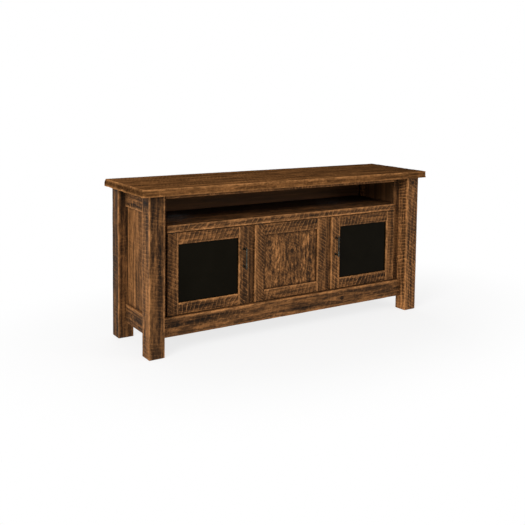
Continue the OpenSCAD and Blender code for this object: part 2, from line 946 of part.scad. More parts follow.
module left_door_hinge_stile() { color(WOOD_DARK) on_left_door() hinge_stile(true); }
module left_door_pull_stile() { color(WOOD_DARK) on_left_door() free_stile(true, true); }
module left_door_top_rail() { color(WOOD_MID) on_left_door() door_top_rail(true); }
module left_door_bottom_rail() { color(WOOD_MID) on_left_door() door_bottom_rail(true); }
module left_door_glass() { color(GLASS) on_left_door() door_glass(); }
module left_door_glass_stops() { color(WOOD_DARK) on_left_door() door_glass_stops(); }
module left_door_pull() { color(IRON) on_left_door() door_pull(); }
module left_door_fittings() { color(STEEL) on_left_door() door_fittings(true); }

module center_door_hinge_stile() { color(WOOD_DARK) on_center_door() hinge_stile(false); }
module center_door_free_stile() { color(WOOD_DARK) on_center_door() free_stile(false, false); }
module center_door_top_rail() { color(WOOD_MID) on_center_door() door_top_rail(false); }
module center_door_bottom_rail() { color(WOOD_MID) on_center_door() door_bottom_rail(false); }
module center_door_panel() { color(WOOD_LIGHT) on_center_door() door_wood_panel(); }
module center_door_fittings() { color(STEEL) on_center_door() door_fittings(false); }

module right_door_hinge_stile() { color(WOOD_DARK) on_right_door() hinge_stile(true); }
module right_door_pull_stile() { color(WOOD_DARK) on_right_door() free_stile(true, true); }
module right_door_top_rail() { color(WOOD_MID) on_right_door() door_top_rail(true); }
module right_door_bottom_rail() { color(WOOD_MID) on_right_door() door_bottom_rail(true); }
module right_door_glass() { color(GLASS) on_right_door() door_glass(); }
module right_door_glass_stops() { color(WOOD_DARK) on_right_door() door_glass_stops(); }
module right_door_pull() { color(IRON) on_right_door() door_pull(); }
module right_door_fittings() { color(STEEL) on_right_door() door_fittings(true); }

top_board_front();
top_board_middle();
top_board_back();
post_front_left();
post_front_right();
post_back_left();
post_back_right();
side_top_rail_left();
side_top_rail_right();
side_bottom_rail_left();
side_bottom_rail_right();
side_boards_left();
side_boards_right();
side_liner_left();
side_liner_right();
front_apron();
back_bottom_rail();
back_top_rail();
back_panel();
bottom_panel();
partition_left();
partition_right();
media_shelf();
adjustable_shelves();
shelf_pins();
support_cleats();
carcass_screws();
face_stile_left();
face_stile_right();
divider_stile_left();
divider_stile_right();
face_top_rail();
left_door_hinge_stile();
left_door_pull_stile();
left_door_top_rail();
left_door_bottom_rail();
left_door_glass();
left_door_glass_stops();
left_door_pull();
left_door_fittings();
center_door_hinge_stile();
center_door_free_stile();
center_door_top_rail();
center_door_bottom_rail();
center_door_panel();
center_door_fittings();
right_door_hinge_stile();
right_door_pull_stile();
right_door_top_rail();
right_door_bottom_rail();
right_door_glass();
right_door_glass_stops();
right_door_pull();
right_door_fittings();
hinge_frame_leaves();
hinge_pins();
magnetic_catches();
touch_latch_body();
touch_latch_plunger();
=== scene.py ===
"""Looks of the tv stand: rough-sawn boards, dark glass, cast pulls, floor, light and camera."""
import json
import math

import bpy
import numpy as np
from mathutils import Matrix, Vector


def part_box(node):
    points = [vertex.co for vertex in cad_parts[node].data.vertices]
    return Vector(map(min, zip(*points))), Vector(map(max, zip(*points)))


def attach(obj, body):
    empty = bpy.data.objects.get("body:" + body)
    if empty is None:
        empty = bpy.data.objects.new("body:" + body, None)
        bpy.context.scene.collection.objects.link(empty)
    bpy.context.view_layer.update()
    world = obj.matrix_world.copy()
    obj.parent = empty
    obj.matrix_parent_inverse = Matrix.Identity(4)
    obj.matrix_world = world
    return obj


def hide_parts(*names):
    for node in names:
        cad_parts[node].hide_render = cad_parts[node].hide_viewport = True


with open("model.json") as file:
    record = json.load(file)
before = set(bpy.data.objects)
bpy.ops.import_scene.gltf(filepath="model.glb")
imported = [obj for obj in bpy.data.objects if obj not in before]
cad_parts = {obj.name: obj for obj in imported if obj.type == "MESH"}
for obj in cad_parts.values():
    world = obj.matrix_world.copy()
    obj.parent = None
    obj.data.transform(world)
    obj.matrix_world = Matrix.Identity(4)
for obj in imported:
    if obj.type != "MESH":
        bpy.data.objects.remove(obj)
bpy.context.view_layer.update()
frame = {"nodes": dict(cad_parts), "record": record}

BODY_OF = {node: body for body, nodes in frame["record"]["behaviour"]["bodies"].items() for node in nodes}
SLOT_OF = {part["node"]: part["material_slot"] for part in frame["record"]["subparts"]}


# ------------------------------------------------------------------ colour

def linear(red, green, blue):
    """A colour given as 0 to 255 on a screen, as the linear values that shaders take."""
    def channel(value):
        value = value / 255
        return value / 12.92 if value <= 0.04045 else ((value + 0.055) / 1.055) ** 2.4
    return (channel(red), channel(green), channel(blue), 1.0)


# ------------------------------------------------------------------ noise

def lattice_value(ix, iy, iz, seed):
    """A repeatable value from 0 to 1 for each lattice point."""
    mixed = (ix * 374761393 + iy * 668265263 + iz * 1442695041 + seed * 144665) & 0xFFFFFFFF
    mixed = ((mixed ^ (mixed >> 13)) * 1274126177) & 0xFFFFFFFF
    return ((mixed ^ (mixed >> 16)) & 0xFFFFFF) / 0xFFFFFF


def noise(points, scale, seed):
    """Smooth value noise from 0 to 1. scale is the number of cells in a metre, for all axes or for each."""
    p = points * np.asarray(scale, float)
    base = np.floor(p).astype(np.int64)
    f = p - base
    f = f * f * (3 - 2 * f)
    total = np.zeros(len(p))
    for dx in (0, 1):
        wx = f[:, 0] if dx else 1 - f[:, 0]
        for dy in (0, 1):
            wy = f[:, 1] if dy else 1 - f[:, 1]
            for dz in (0, 1):
                wz = f[:, 2] if dz else 1 - f[:, 2]
                total += wx * wy * wz * lattice_value(
                    base[:, 0] + dx, base[:, 1] + dy, base[:, 2] + dz, seed)
    return total


def layered(points, scale, seed, layers=3):
    """Several layers of noise, each twice as fine and half as strong."""
    scale = np.asarray(scale, float)
    total = sum(noise(points, scale * 2 ** i, seed + 31 * i) / 2 ** i for i in range(layers))
    return total / sum(1 / 2 ** i for i in range(layers))


def step(low, high, value):
    """0 below low, 1 above high, smooth between them."""
    t = np.clip((value - low) / (high - low), 0, 1)
    return t * t * (3 - 2 * t)


# ------------------------------------------------------------------ boards
# A board is a union of boxes less some cuts, on a lattice that is fine enough to be worn and sawn

X, Y, Z = 0, 1, 2
EDGE_STEPS = (0.0009, 0.0021, 0.0042)
CELL = 0.005
SNAP = 1e-6
LEAST_CELL = 1e-5


def lattice_lines(low, high, cell, stops):
    """Lattice positions along one axis: close together beside the ends, even between the stops."""
    marks = [low] + sorted(s for s in set(stops) if low + SNAP < s < high - SNAP) + [high]
    marks = [m for i, m in enumerate(marks) if i == 0 or m - marks[i - 1] > LEAST_CELL]
    marks[-1] = high
    out = []
    for start, end in zip(marks, marks[1:]):
        first = [start + s for s in EDGE_STEPS if start == low and s < (end - start) / 3]
        last = [end - s for s in EDGE_STEPS if end == high and s < (end - start) / 3]
        a, b = (first or [start])[-1], (last or [end])[-1]
        count = max(1, round((b - a) / cell))
        middle = list(np.linspace(a, b, count + 1))
        out += [start] + first[:-1] + middle + last[::-1][1:]
    out.append(high)
    return np.array(sorted(set(round(v, 7) for v in out)))


def lattice_surface(add, cut, cell):
    """Corner points and outward quads of the union of the boxes in add less those in cut."""
    axes = []
    for axis in (X, Y, Z):
        low = min(box[0][axis] for box in add)
        high = max(box[1][axis] for box in add)
        stops = [box[end][axis] for box in list(add) + list(cut) for end in (0, 1)]
        axes.append(lattice_lines(low, high, cell, stops))
    middles = [(a[1:] + a[:-1]) / 2 for a in axes]
    solid = np.zeros([len(m) for m in middles], bool)

    def cells_in(box):
        masks = [(m > box[0][axis]) & (m < box[1][axis]) for axis, m in enumerate(middles)]
        return masks[0][:, None, None] & masks[1][None, :, None] & masks[2][None, None, :]

    for box in add:
        solid |= cells_in(box)
    for box in cut:
        solid &= ~cells_in(box)
    padded = np.pad(solid, 1)
    quads = []
    for axis in (X, Y, Z):
        order = [slice(1, -1)] * 3
        before, after = list(order), list(order)
        before[axis], after[axis] = slice(0, -1), slice(1, None)
        one, two = padded[tuple(before)], padded[tuple(after)]
        u, v = (axis + 1) % 3, (axis + 2) % 3
        for faces, turn in ((one & ~two, False), (two & ~one, True)):
            corner = np.argwhere(faces)
            ring = []
            for du, dv in ((0, 0), (1, 0), (1, 1), (0, 1)):
                point = corner.copy()
                point[:, u] += du
                point[:, v] += dv
                ring.append(point)
            if turn:
                ring.reverse()
            quads.append(np.stack(ring, 1))
    quads = np.concatenate(quads)
    sizes = [len(a) for a in axes]
    ids = (quads[..., 0] * sizes[1] + quads[..., 1]) * sizes[2] + quads[..., 2]
    used, index = np.unique(ids, return_inverse=True)
    grid = np.stack(np.unravel_index(used, sizes), 1)
    points = np.stack([axes[axis][grid[:, axis]] for axis in (X, Y, Z)], 1)
    return points, index.reshape(ids.shape)


def corner_normals(points, quads):
    """The mean outward direction at each point."""
    p = points[quads]
    face = np.cross(p[:, 2] - p[:, 0], p[:, 3] - p[:, 1])
    face /= np.maximum(np.linalg.norm(face, axis=1, keepdims=True), 1e-12)
    total = np.zeros_like(points)
    for corner in range(4):
        np.add.at(total, quads[:, corner], face)
    return total / np.maximum(np.linalg.norm(total, axis=1, keepdims=True), 1e-12)


SIDES = {"-x": (X, 0), "+x": (X, 1), "-y": (Y, 0), "+y": (Y, 1), "-z": (Z, 0), "+z": (Z, 1)}

# What the random patterns of a board are made of: cells in a metre, seed offset and layers
PATTERNS = {
    "chips": (45, 5, 2),
    "rounding": (24, 3, 2),
    "wander": (9, 7, 2),
    "jitter": (40, 8, 1),
    "patches": (11, 11, 2),
    "waves": (14, 13, 3),
    "end_hollows": (42, 23, 3),
    "ragged": (30, 17, 3),
    "spells": (13, 18, 3),
    "drift": (2.2, 19, 2),
}

# Depths and reaches of the wear, in metres, and the shares that limit it
CHIP_DEPTH = 0.006
CHIP_REACH = 0.005
WAVE_DEPTH = 0.0010
WEAR_REACH = 0.0026
WORN_REACH = 0.0066
# How far the painted shade beside an opening reaches, and how much it darkens the wood
PAINTED_RECESS_SHADE_REACH = 0.0062
PAINTED_RECESS_SHADE_TONE = 0.75
GRAIN_DRIFT = 0.010
ROUNDING_LIMIT = 0.3
END_CLEARANCE = 0.001


class Timber:
    """The lattice of a board, with the measures that its wear and marks are worked out from."""

    def __init__(self, add, cut, cell, along, seed):
        self.points, self.quads = lattice_surface(add, cut, cell)
        self.normals = corner_normals(self.points, self.quads)
        self.low, self.high = np.array(add[0][0], float), np.array(add[0][1], float)
        self.to_low, self.to_high = self.points - self.low, self.high - self.points
        self.inside = ((self.points > self.low - SNAP) & (self.points < self.high + SNAP)).all(1)
        self.along, self.seed = along, seed
        self.others = [axis for axis in (X, Y, Z) if axis != along]
        self.rng = np.random.default_rng(seed)
        self.offset = self.rng.uniform(-20, 20, 3)
        self.key = self.points + self.offset

    def pattern(self, name, stretch=1.0):
        """One of the board's random patterns, from 0 to 1 at each point."""
        cells, offset, layers = PATTERNS[name]
        return layered(self.key * stretch, cells, self.seed + offset, layers)

    def rounded(self, radius, nicks):
        """The points, with the edges rounded off and chipped."""
        on_face = self.inside & (np.minimum(self.to_low, self.to_high).min(1) < SNAP)
        round_off = radius * (0.45 + 0.9 * self.pattern("rounding")) + nicks * CHIP_DEPTH
        limit = (self.high - self.low).min() * ROUNDING_LIMIT
        r = np.minimum(round_off, limit)[:, None]
        core = np.clip(self.points, self.low + r, self.high - r)
        out = self.points - core
        length = np.linalg.norm(out, axis=1, keepdims=True)
        return np.where(on_face[:, None], core + out / np.maximum(length, 1e-9) * r, self.points)

    def saw_phase(self, slant, pitch):
        """How many slanted saw marks lie between a starting line and each point."""
        lean = math.radians(slant)
        sign = -1 if self.along == X else 1
        across = self.points[:, self.others[0]] + 0.35 * self.points[:, self.others[1]]
        line = self.points[:, self.along] * math.cos(lean) - sign * across * math.sin(lean)
        phase = line / pitch + 1.6 * self.pattern("wander") + 0.5 * self.pattern("jitter")
        return phase + self.rng.uniform(0, 1)

    def sink_marks(self, moved, phase, depth):
        """Sinks the saw marks, to a depth for each point, and the low waves of sawn timber."""
        ridge = 0.5 - 0.5 * np.sin(2 * math.pi * phase)
        relief = ridge * depth + WAVE_DEPTH * self.pattern("waves")
        flat = np.abs(self.normals).max(1) > 0.999
        relief *= np.where(flat, 1.0, 0.6)
        return moved - self.normals * relief[:, None] * self.inside[:, None]

    def tear_ends(self, moved, depth):
        """Sinks hollows of that depth into the end grain."""
        stretch = np.where(np.arange(3) == self.along, 0.1, 1.0)
        hollow = step(0.42, 0.72, self.pattern("end_hollows", stretch))
        for end, inward in ((self.to_low, 1), (self.to_high, -1)):
            reach = np.clip(1 - end[:, self.along] / (END_CLEARANCE + depth * 5), 0, 1)
            moved[:, self.along] += inward * depth * hollow * reach * self.inside

    def rubbed(self, wear, worn, nicks, ragged):
        """How far the wood is rubbed bare, from 0 to 1: every edge a little and the worn ones more."""
        spell = step(0.30, 0.60, self.pattern("spells"))
        nearest = np.maximum(np.sort(np.minimum(self.to_low, self.to_high), axis=1)[:, 1], 0)
        rubbed = wear * spell * np.exp(-nearest / (WEAR_REACH * ragged))
        for one, two, amount in worn:
            away = np.hypot(self.distance(one), self.distance(two))
            amount = min(1.0, amount * 1.25) * (0.5 + 0.5 * spell)
            rubbed = np.maximum(rubbed, amount * np.exp(-(away / (WORN_REACH * ragged)) ** 2))
        return np.clip(rubbed + nicks * np.exp(-nearest / CHIP_REACH) * 0.3, 0, 1)

    def distance(self, side):
        """How far each point lies from one side of the board."""
        axis, end = SIDES[side]
        return np.maximum((self.to_high if end else self.to_low)[:, axis], 0)

    def knotted_grain(self, knots):
        """Grain coordinates that run round the knots, and how deep in a knot each point lies."""
        size_0, size_1 = (self.high - self.low)[self.others]
        column = 1 if size_0 > size_1 else 2
        axis = self.others[column - 1]
        grain = np.stack([self.points[:, i] for i in (self.along, *self.others)], 1)
        knot = np.zeros(len(self.points))
        for centre, size in knots:
            du = self.points[:, self.along] - centre[self.along]
            across = self.points[:, axis] - centre[axis]
            push = size * 1.1 * np.exp(-(du / (size * 4)) ** 2 - (across / (size * 2.2)) ** 2)
            grain[:, column] += np.where(across >= 0, -push, push)
            knot = np.maximum(knot, np.clip(1.25 - np.hypot(du, across) / size, 0, 1))
        grain[:, 1] += GRAIN_DRIFT * self.pattern("drift")
        return grain + self.offset, knot

    def tones(self, tone, shade, fade, painted_recess_shade, ragged):
        """How much lighter or darker than its material the wood is at each point, with painted light and
        shade.
        """
        tones = np.full(len(self.points), float(tone))
        # Painted light and shade: whole sides are lightened or darkened as light falls on them
        for side, amount in (shade or {}).items():
            axis, end = SIDES[side]
            tones += amount * np.clip(self.normals[:, axis] * (1 if end else -1), 0, 1)
        # Painted shade: the tone changes by amount from start to stop along one axis
        if fade:
            axis, start, stop, amount = fade
            tones += amount * step(start, stop, self.points[:, axis])
        # Painted shade: the wood darkens towards the edges of the opening that it is seen through
        if painted_recess_shade:
            axis, first, last, low_z, high_z = painted_recess_shade
            place, height = self.points[:, axis], self.points[:, Z]
            away = np.minimum(np.minimum(place - first, last - place),
                              np.minimum(height - low_z, high_z - height))
            tones -= PAINTED_RECESS_SHADE_TONE * np.exp(-np.maximum(away, 0) / (PAINTED_RECESS_SHADE_REACH * ragged))
        return tones


def board(add, along, seed, cut=(), cell=CELL, radius=0.0022, chips=0.4, saw=(-35, 0.015, 0.0006),
          tone=0.0, worn=(), knots=(), wear=0.15, sawn=1.0, even=0.0, shade=None, fade=None, painted_recess_shade=None,
          torn_ends=0.0):
    """A rough-sawn board.

    along is the grain's axis and saw is (slant in degrees, pitch, depth) of the saw marks, which sawn
    makes stronger or weaker and which show nowhere less than even. worn lists (side, side, amount) for
    the edges that are rubbed more than the rest, and knots lists (point, radius). shade is painted light
    and shade that lightens or darkens whole sides, and fade is painted shade that changes the tone from
    one place to another along an axis. The opening that the board is seen through, where one is given,
    darkens the board beside its edges as painted shade, and torn_ends is the depth of the hollows in
    the end grain.
    """
    timber = Timber(add, cut, cell, along, seed)
    slant, pitch, depth = saw
    nicks = step(0.70, 0.92, timber.pattern("chips")) * chips
    ragged = 0.4 + 1.2 * timber.pattern("ragged")
    patch = even + (1 - even) * step(0.30, 0.66, timber.pattern("patches"))
    phase = timber.saw_phase(slant, pitch)
    moved = timber.sink_marks(timber.rounded(radius, nicks), phase, depth * patch * sawn)
    timber.tear_ends(moved, torn_ends)
    rubbed = timber.rubbed(wear, worn, nicks, ragged)
    grain, knot = timber.knotted_grain(knots)
    tones = timber.tones(tone, shade, fade, painted_recess_shade, ragged)
    return {
        "points": moved,
        "quads": timber.quads,
        "grain": grain,
        "marks": np.stack([phase, rubbed, np.full(len(moved), sawn)], 1),
        "tone": np.stack([tones, knot, patch], 1),
    }


def make_mesh(name, parts):
    """One mesh from several boards, with their grain, marks and tone as point attributes."""
    counts = np.cumsum([0] + [len(part["points"]) for part in parts])
    points = np.concatenate([part["points"] for part in parts])
    quads = np.concatenate([part["quads"] + start for part, start in zip(parts, counts)])
    mesh = bpy.data.meshes.new(name)
    mesh.vertices.add(len(points))
    mesh.vertices.foreach_set("co", points.astype(np.float32).ravel())
    mesh.loops.add(quads.size)
    mesh.loops.foreach_set("vertex_index", quads.astype(np.int32).ravel())
    mesh.polygons.add(len(quads))
    mesh.polygons.foreach_set("loop_start", np.arange(0, quads.size, 4, dtype=np.int32))
    mesh.update(calc_edges=True)
    mesh.validate()
    mesh.polygons.foreach_set("use_smooth", np.ones(len(mesh.polygons), bool))
    for key in ("grain", "marks", "tone"):
        values = np.concatenate([part[key] for part in parts])
        layer = mesh.attributes.new(key, "FLOAT_VECTOR", "POINT")
        layer.data.foreach_set("vector", values.astype(np.float32).ravel())
    return mesh


def add_piece(name, mesh, material, node):
    """Puts a mesh in the scene in place of a CAD node, on that node's body."""
    piece = bpy.data.objects.new(name, mesh)
    bpy.context.scene.collection.objects.link(piece)
    mesh.materials.append(material)
    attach(piece, BODY_OF[node])
    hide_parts(node)
    return piece


def board_piece(node, material, parts):
    return add_piece(node + ".sawn", make_mesh(node + ".sawn", parts), material, node)


# ------------------------------------------------------------------ materials

def new_material(name):
    """A material that holds an output and its principled shader, and the graph to add nodes with."""
    material = bpy.data.materials.new(name)
    graph = Graph(material)
    shader = graph.add("ShaderNodeBsdfPrincipled")
    graph.link(shader.outputs[0], graph.add("ShaderNodeOutputMaterial").inputs[0])
    return material, shader, graph


MIX_COLOUR_INPUTS = (0, 6, 7)
MIX_COLOUR_OUTPUT = 2


class Graph:
    """Short calls for the nodes that the materials and the world share."""

    def __init__(self, owner):
        owner.use_nodes = True
        self.tree = owner.node_tree
        self.tree.nodes.clear()

    def add(self, kind):
        return self.tree.nodes.new(kind)

    def link(self, value, socket):
        if hasattr(value, "is_output"):
            self.tree.links.new(value, socket)
        else:
            socket.default_value = value

    def attribute(self, name):
        node = self.add("ShaderNodeAttribute")
        node.attribute_name = name
        return node.outputs["Vector"]

    def place(self):
        return self.add("ShaderNodeTexCoord").outputs["Object"]

    def split(self, vector):
        node = self.add("ShaderNodeSeparateXYZ")
        self.link(vector, node.inputs[0])
        return node.outputs[0], node.outputs[1], node.outputs[2]

    def grey(self, value):
        node = self.add("ShaderNodeCombineXYZ")
        for socket in node.inputs:
            self.link(value, socket)
        return node.outputs[0]

    def scaled(self, vector, scale):
        node = self.add("ShaderNodeMapping")
        self.link(vector, node.inputs["Vector"])
        node.inputs["Scale"].default_value = scale
        return node.outputs[0]

    def noise(self, vector, scale, detail=4.0, roughness=0.6, distortion=0.0):
        """Noise from 0 to 1. scale is the number of cells in a metre along each axis."""
        node = self.add("ShaderNodeTexNoise")
        self.link(self.scaled(vector, scale), node.inputs["Vector"])
        node.inputs["Scale"].default_value = 1.0
        node.inputs["Detail"].default_value = detail
        node.inputs["Roughness"].default_value = roughness
        node.inputs["Distortion"].default_value = distortion
        return node.outputs["Fac"]

    def math(self, kind, one, two=0.0, three=0.0):
        node = self.add("ShaderNodeMath")
        node.operation = kind
        for value, socket in zip((one, two, three), node.inputs):
            self.link(value, socket)
        return node.outputs[0]

    def times(self, one, two):
        return self.math("MULTIPLY", one, two)

    def wave(self, turns):
        """A sine that swings from -1 to 1 once in each turn."""
        return self.math("SINE", self.times(turns, 2 * math.pi))

    def between(self, value, low, high, start=0.0, end=1.0):
        """A smooth step from start, at low, to end, at high."""
        node = self.add("ShaderNodeMapRange")
        node.interpolation_type = "SMOOTHSTEP"
        for item, socket in zip((value, low, high, start, end), node.inputs):
            self.link(item, socket)
        return node.outputs[0]

    def mix(self, amount, one, two, kind="MIX"):
        node = self.add("ShaderNodeMix")
        node.data_type = "RGBA"
        node.blend_type = kind
        for value, socket in zip((amount, one, two), MIX_COLOUR_INPUTS):
            self.link(value, node.inputs[socket])
        return node.outputs[MIX_COLOUR_OUTPUT]

    def ramp(self, value, stops):
        node = self.add("ShaderNodeValToRGB")
        self.link(value, node.inputs[0])
        bar = node.color_ramp
        while len(bar.elements) < len(stops):
            bar.elements.new(0.5)
        for element, (position, colour) in zip(bar.elements, stops):
            element.position = position
            element.color = colour
        return node.outputs["Color"]

    def background_rays(self):
        """1 for the rays that show the background: seen by the camera, mirrored or through glass."""
        rays = self.add("ShaderNodeLightPath").outputs
        seen = self.math("MAXIMUM", rays["Is Camera Ray"], rays["Is Glossy Ray"])
        return self.math("MAXIMUM", seen, rays["Is Transmission Ray"])

    def blend(self, amount, one, two):
        """A shader that goes from one to two."""
        node = self.add("ShaderNodeMixShader")
        for value, socket in zip((amount, one.outputs[0], two.outputs[0]), node.inputs):
            self.link(value, socket)
        return node.outputs[0]

    def bump(self, height, strength, distance):
        node = self.add("ShaderNodeBump")
        node.inputs["Strength"].default_value = strength
        node.inputs["Distance"].default_value = distance
        self.link(height, node.inputs["Height"])
        return node.outputs[0]


# Noise in sawn wood: cells in a metre along and across the grain, detail, roughness and distortion
STREAKS = ((3.0, 75, 75), 6, 0.7, 0.6)
BROAD_STREAKS = ((1.6, 15, 15), 3, 0.6, 0.4)
BLOTCHES = ((11, 24, 24), 4, 0.65)
PORES = ((24, 480, 480), 3, 0.65)
TORN_GRAIN = ((60, 120, 120), 4, 0.75)
TORN_BITS = ((34, 95, 95), 5, 0.8)
WEIGHTS = (0.42, 0.19, 0.15, 0.24)
SCRATCH_LEAD = 0.16
KNOT_RINGS = 26.0


def grain_colour(g, layers, pores, weights, colours):
    """The stained wood's colour, from the weighted noise layers, with dark pores."""
    value = g.times(layers[0], weights[0])
    for layer, weight in zip(layers[1:], weights[1:]):
        value = g.math("MULTIPLY_ADD", layer, weight, value)
    colour = g.ramp(value, list(zip((0.425, 0.495, 0.575), colours)))
    return g.mix(g.times(g.between(pores, 0.54, 0.70), 0.55), colour, colours[0])


def saw_marks(g, phase, torn, bits, strength):
    """Thin bright scratches, broken up by the torn grain, and the dark grooves beside them."""
    wander = g.math("ADD", phase, g.times(torn, 0.22))
    scratch = g.between(g.wave(wander), 0.72, 0.98)
    crest = g.times(g.times(scratch, strength), g.between(bits, 0.36, 0.60))
    trough = g.times(g.between(g.wave(g.math("ADD", wander, SCRATCH_LEAD)), -0.45, -0.95), strength)
    return crest, trough


def with_knots(g, colour, knot, torn, dark, mid):
    """The colour with ringed knots where knot is above 0."""
    rings = g.math("SINE", g.times(g.math("ADD", knot, g.times(torn, 0.4)), KNOT_RINGS))
    ring_colour = g.mix(g.between(rings, -0.5, 0.9), dark, g.mix(0.5, mid, dark))
    return g.mix(g.between(knot, 0.15, 0.45), colour, ring_colour)


def sawn_wood(name, colours, worn, marks, flecks, roughness=0.72, shine=0.10, weights=WEIGHTS):
    """Stained rough-sawn wood that reads the boards' grain, marks and tone.

    colours are its dark, middle and light colour, and worn that of its scratches and rubbed edges.
    marks is the strength of the saw marks and flecks of the bright torn grain. weights are the shares
    of fine streaks, broad streaks, blotches and torn bits in the colour.
    """
    material, shader, g = new_material(name)
    dark, mid, light = colours
    grain = g.attribute("grain")
    phase, rubbed, sawn = g.split(g.attribute("marks"))
    tone, knot, patch = g.split(g.attribute("tone"))
    streak, broad, blotch, pores, torn, bits = [g.noise(grain, *layer) for layer in (
        STREAKS, BROAD_STREAKS, BLOTCHES, PORES, TORN_GRAIN, TORN_BITS)]

    colour = grain_colour(g, (streak, broad, blotch, bits), pores, weights, colours)
    crest, trough = saw_marks(g, phase, torn, bits, g.times(g.times(sawn, patch), marks))
    colour = g.mix(g.times(trough, 0.62), colour, dark)
    colour = g.mix(g.math("MINIMUM", crest, 1.0), colour, g.mix(0.5, light, worn))
    fleck = g.times(g.between(bits, 0.56, 0.68), g.between(blotch, 0.48, 0.62))
    colour = g.mix(g.times(fleck, flecks), colour, worn)
    colour = with_knots(g, colour, knot, torn, dark, mid)
    # The tone attribute darkens or lightens the colour: each board's own tone, and its painted light and
    # shade
    colour = g.mix(1.0, colour, g.grey(g.math("ADD", 1.0, tone)), "MULTIPLY")
    bare = g.times(rubbed, g.between(bits, 0.38, 0.58, 0.35, 1.0))
    colour = g.mix(g.math("MINIMUM", bare, 1.0), colour, worn)
    g.link(colour, shader.inputs["Base Color"])

    dull = g.math("ADD", roughness - 0.12, g.times(streak, 0.24))
    g.link(g.math("SUBTRACT", dull, g.times(rubbed, 0.14)), shader.inputs["Roughness"])
    shader.inputs["Specular IOR Level"].default_value = shine
    height = g.math("ADD", g.math("SUBTRACT", crest, trough), g.times(streak, 1.3))
    height = g.math("ADD", height, g.times(bits, 0.8))
    height = g.math("SUBTRACT", height, g.times(pores, 0.35))
    g.link(g.bump(height, 0.75, 0.0014), shader.inputs["Normal"])
    return material


def panel_wood(name, axis, colours):
    """Stained veneered panel, with its grain along one axis of the frame."""
    material, shader, g = new_material(name)
    place = g.place()
    fine, wide = [60.0] * 3, [9.0] * 3
    fine[axis], wide[axis] = 2.5, 0.9
    streak = g.noise(place, fine, 5, 0.6, 0.3)
    broad = g.noise(place, wide, 3, 0.5, 0.8)
    pores = g.noise(place, [6 * cells for cells in fine], 2, 0.6)
    value = g.math("ADD", g.times(streak, 0.55), g.times(broad, 0.45))
    colour = g.ramp(value, list(zip((0.32, 0.50, 0.68), colours)))
    colour = g.mix(g.times(g.between(pores, 0.56, 0.70), 0.35), colour, colours[0])
    g.link(colour, shader.inputs["Base Color"])
    g.link(g.between(streak, 0.3, 0.7, 0.56, 0.72), shader.inputs["Roughness"])
    shader.inputs["Specular IOR Level"].default_value = 0.15
    height = g.math("SUBTRACT", streak, g.times(pores, 0.5))
    g.link(g.bump(height, 0.25, 0.0006), shader.inputs["Normal"])
    return material


def metal(name, dark, light, roughness, pits):
    """Metal with tarnish in patches and a finely pitted surface. pits is how many a metre holds."""
    material, shader, g = new_material(name)
    place = g.place()
    patina = g.noise(place, (70, 70, 70), 4, 0.6)
    g.link(g.ramp(patina, [(0.36, dark), (0.62, light)]), shader.inputs["Base Color"])
    g.link(g.between(patina, 0.3, 0.7, roughness + 0.14, roughness - 0.08), shader.inputs["Roughness"])
    shader.inputs["Metallic"].default_value = 1.0
    g.link(g.bump(g.noise(place, (pits,) * 3, 3, 0.6), 0.3, 0.0005), shader.inputs["Normal"])
    return material


def dark_glass(name, dark, light):
    """Tinted glass, nearly black, with faint smudges."""
    material, shader, g = new_material(name)
    smudge = g.noise(g.place(), (9, 9, 9), 4, 0.6, 0.6)
    g.link(g.ramp(smudge, [(0.3, dark), (0.7, light)]), shader.inputs["Base Color"])
    g.link(g.between(smudge, 0.35, 0.7, 0.05, 0.16), shader.inputs["Roughness"])
    shader.inputs["Specular IOR Level"].default_value = 0.03
    return material


def moulded_plastic(name, dark, light):
    """Plastic with a fine moulded grain."""
    material, shader, g = new_material(name)
    speck = g.noise(g.place(), (900, 900, 900), 2, 0.6)
    g.link(g.ramp(speck, [(0.35, dark), (0.65, light)]), shader.inputs["Base Color"])
    g.link(g.between(speck, 0.3, 0.7, 0.48, 0.62), shader.inputs["Roughness"])
    g.link(g.bump(speck, 0.2, 0.0002), shader.inputs["Normal"])
    return material


WORN = linear(202, 140, 84)
BROWN = (linear(30, 19, 8), linear(88, 58, 32), linear(160, 108, 62))
TOP_BROWN = (linear(50, 30, 13), linear(92, 60, 33), linear(138, 92, 52))
SIDE_BROWN = (linear(48, 29, 12), linear(106, 70, 38), BROWN[2])
INNER_BROWN = (linear(50, 32, 18), linear(92, 62, 38), linear(128, 90, 56))
VENEER_BROWN = (linear(56, 36, 18), linear(90, 60, 34), linear(122, 84, 50))
MOTTLED = (0.22, 0.08, 0.16, 0.54)
WOOD = {
    "wood_top": sawn_wood("top_wood", TOP_BROWN, WORN, 0.35, 0.4, roughness=0.8, shine=0.0),
    "wood_post": sawn_wood("post_wood", BROWN, WORN, 0.66, 0.65),
    "wood_rail": sawn_wood("rail_wood", BROWN, WORN, 0.65, 0.55),
    "wood_side_board": sawn_wood("side_wood", SIDE_BROWN, WORN, 0.4, 0.5),
    "wood_door": sawn_wood("door_wood", BROWN, WORN, 0.78, 0.65),
    "wood_panel": sawn_wood("panel_wood", BROWN, WORN, 0.5, 1.0, weights=MOTTLED),
    "wood_inner": sawn_wood("inner_wood", INNER_BROWN, WORN, 0.5, 0.3),
}
PANEL = {axis: panel_wood("veneer_" + "xyz"[axis], axis, VENEER_BROWN) for axis in (X, Y, Z)}
PULL_METAL = metal("pewter", linear(22, 22, 19), linear(78, 75, 66), 0.30, 500)
STEEL = metal("zinc", linear(110, 110, 106), linear(170, 170, 166), 0.38, 900)
BRONZE = metal("dark_bronze", linear(30, 24, 18), linear(52, 42, 32), 0.55, 700)
GLASS = dark_glass("tinted_glass", linear(12, 9, 3), linear(16, 13, 6))
PLASTIC = moulded_plastic("catch_plastic", linear(60, 42, 28), linear(74, 53, 36))


# ------------------------------------------------------------------ boxes from the frame

